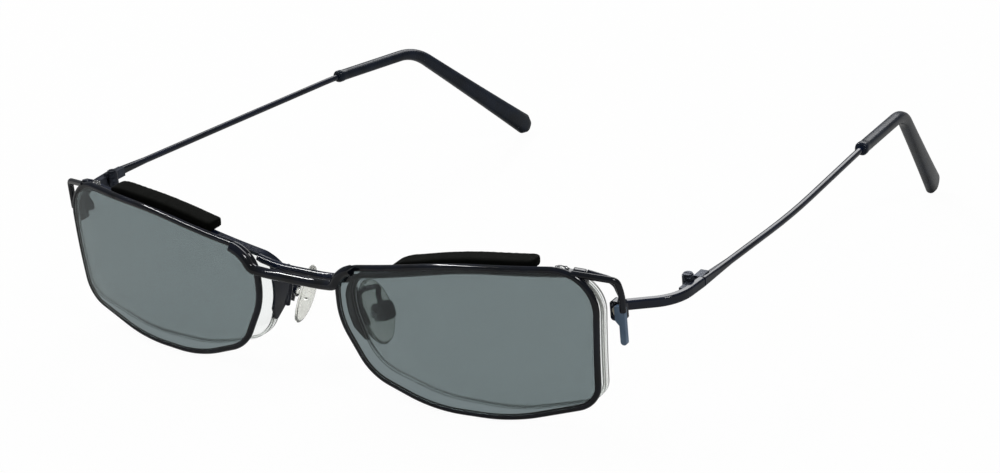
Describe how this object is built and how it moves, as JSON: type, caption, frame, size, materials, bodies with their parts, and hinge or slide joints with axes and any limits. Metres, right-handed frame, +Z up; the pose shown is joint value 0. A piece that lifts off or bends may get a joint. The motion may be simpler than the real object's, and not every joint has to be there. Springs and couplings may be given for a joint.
{
  "type": "semi-rimless glasses with magnetic clip-on",
  "caption": "Slim wire spectacles with clear lenses hung on a cord, folding temples with soft tips, and a full-rim tinted clip-on held at its outer corners by magnets.",
  "frame": {"origin": "middle of the bottom of the bounding box, on the surface the glasses stand on", "axes": "+X toward the wearer's left, +Y from the front back to the ears, +Z up"},
  "size_m": [0.1352, 0.163, 0.0306],
  "materials": {
    "rim_enamel": "gloss",
    "frame_enamel": "gloss",
    "keeper_enamel": "satin",
    "tinted_lens": "polished, grey-green tint",
    "clear_lens": "polished",
    "clear_cord": "clear nylon",
    "soft_black": "matte",
    "magnet_plating": "nickel plated",
    "hinge_metal": "satin",
    "screw_steel": "turned",
    "tip_plastic": "satin",
    "clear_silicone": "clear silicone"
  },
  "bodies": {
    "front": {"left_clear_lens": "clear_lens", "left_brow_strip": "frame_enamel", "left_lens_cord": "clear_cord", "left_brow_pad": "soft_black", "left_magnet_case": "frame_enamel", "left_magnet": "magnet_plating", "left_end_piece": "frame_enamel", "left_front_hinge": "hinge_metal", "left_hinge_screw": "screw_steel", "left_pad_box": "frame_enamel", "left_pad_arm": "frame_enamel", "left_pad_screw": "screw_steel", "right_clear_lens": "clear_lens", "right_brow_strip": "frame_enamel", "right_lens_cord": "clear_cord", "right_brow_pad": "soft_black", "right_magnet_case": "frame_enamel", "right_magnet": "magnet_plating", "right_end_piece": "frame_enamel", "right_front_hinge": "hinge_metal", "right_hinge_screw": "screw_steel", "right_pad_box": "frame_enamel", "right_pad_arm": "frame_enamel", "right_pad_screw": "screw_steel", "frame_bridge": "frame_enamel"},
    "clip": {"left_clip_rim": "rim_enamel", "left_clip_tinted_lens": "tinted_lens", "left_clip_arm": "rim_enamel", "left_clip_keeper": "keeper_enamel", "right_clip_rim": "rim_enamel", "right_clip_tinted_lens": "tinted_lens", "right_clip_arm": "rim_enamel", "right_clip_keeper": "keeper_enamel", "clip_bridge": "rim_enamel"},
    "left_temple_body": {"left_temple": "frame_enamel", "left_temple_hinge": "hinge_metal", "left_temple_tip": "tip_plastic"},
    "left_pad_body": {"left_nose_pad": "clear_silicone"},
    "right_temple_body": {"right_temple": "frame_enamel", "right_temple_hinge": "hinge_metal", "right_temple_tip": "tip_plastic"},
    "right_pad_body": {"right_nose_pad": "clear_silicone"}
  },
  "joints": [
    {"name": "left_temple_hinge", "type": "hinge", "parent": "front", "child": "left_temple_body", "pos_m": [0.065, -0.05481, 0.02326], "axis": [0, -0.1112, 0.9938], "range_deg": [0, 90]},
    {"name": "right_temple_hinge", "type": "hinge", "parent": "front", "child": "right_temple_body", "pos_m": [-0.065, -0.05481, 0.02326], "axis": [0, 0.1112, -0.9938], "range_deg": [0, 87]},
    {"name": "clip_pull_off", "type": "slide", "parent": "front", "child": "clip", "axis": [0, -1, 0], "range_m": [0, 0.03]},
    {"name": "left_pad_rock", "type": "hinge", "parent": "front", "child": "left_pad_body", "pos_m": [0.01038, -0.06701, 0.01298], "axis": [0.3173, 0.9425, 0.1054], "range_deg": [-8, 8]},
    {"name": "right_pad_rock", "type": "hinge", "parent": "front", "child": "right_pad_body", "pos_m": [-0.01038, -0.06701, 0.01298], "axis": [-0.3173, 0.9425, 0.1054], "range_deg": [-8, 8]}
  ]
}
